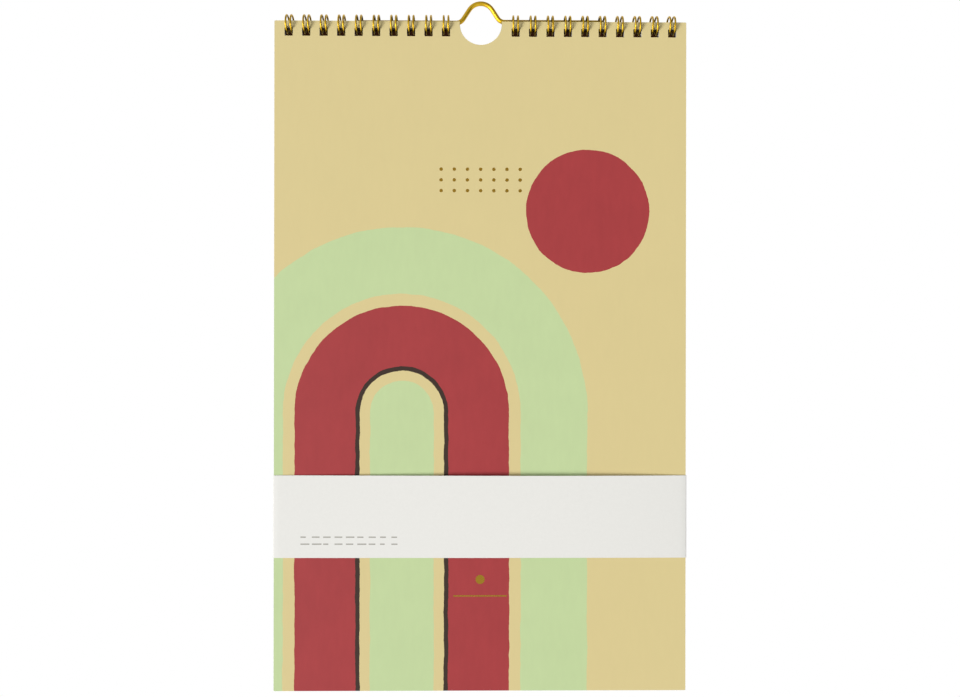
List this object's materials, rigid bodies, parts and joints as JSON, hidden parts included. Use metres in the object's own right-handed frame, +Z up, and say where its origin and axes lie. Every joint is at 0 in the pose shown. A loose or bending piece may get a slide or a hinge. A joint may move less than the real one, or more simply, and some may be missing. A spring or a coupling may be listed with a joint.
{
  "type": "wall calendar",
  "caption": "Wire-bound wall calendar: card cover, month pages and back card on twin-loop wires, with a humped wire hanger, a thumb notch and a paper belly band.",
  "frame": {"origin": "the point on the underside of the hanger's hump that hangs on a nail", "axes": "+Z up along the pad, +X to the right seen from the front, the cover faces -Y"},
  "size_m": [0.2006, 0.0093, 0.3363],
  "materials": {
    "cover_card": "matte",
    "page_paper": "matte",
    "back_board": "matte",
    "gold_wire": "satin",
    "band_paper": "matte"
  },
  "bodies": {
    "hanger": {"hanger": "gold_wire"},
    "pad": {"front_cover": "cover_card", "month_pages": "page_paper", "back_card": "back_board", "left_binding_wire": "gold_wire", "right_binding_wire": "gold_wire"},
    "belly_band": {"belly_band": "band_paper"}
  },
  "joints": [
    {"name": "pad_swing", "type": "hinge", "parent": "hanger", "child": "pad", "pos_m": [0, 0, -0.00815], "axis": [-1, 0, 0], "continuous": true},
    {"name": "band_slide", "type": "slide", "parent": "pad", "child": "belly_band", "axis": [0, 0, 1], "range_m": [-0.1056, 0.2079]}
  ]
}
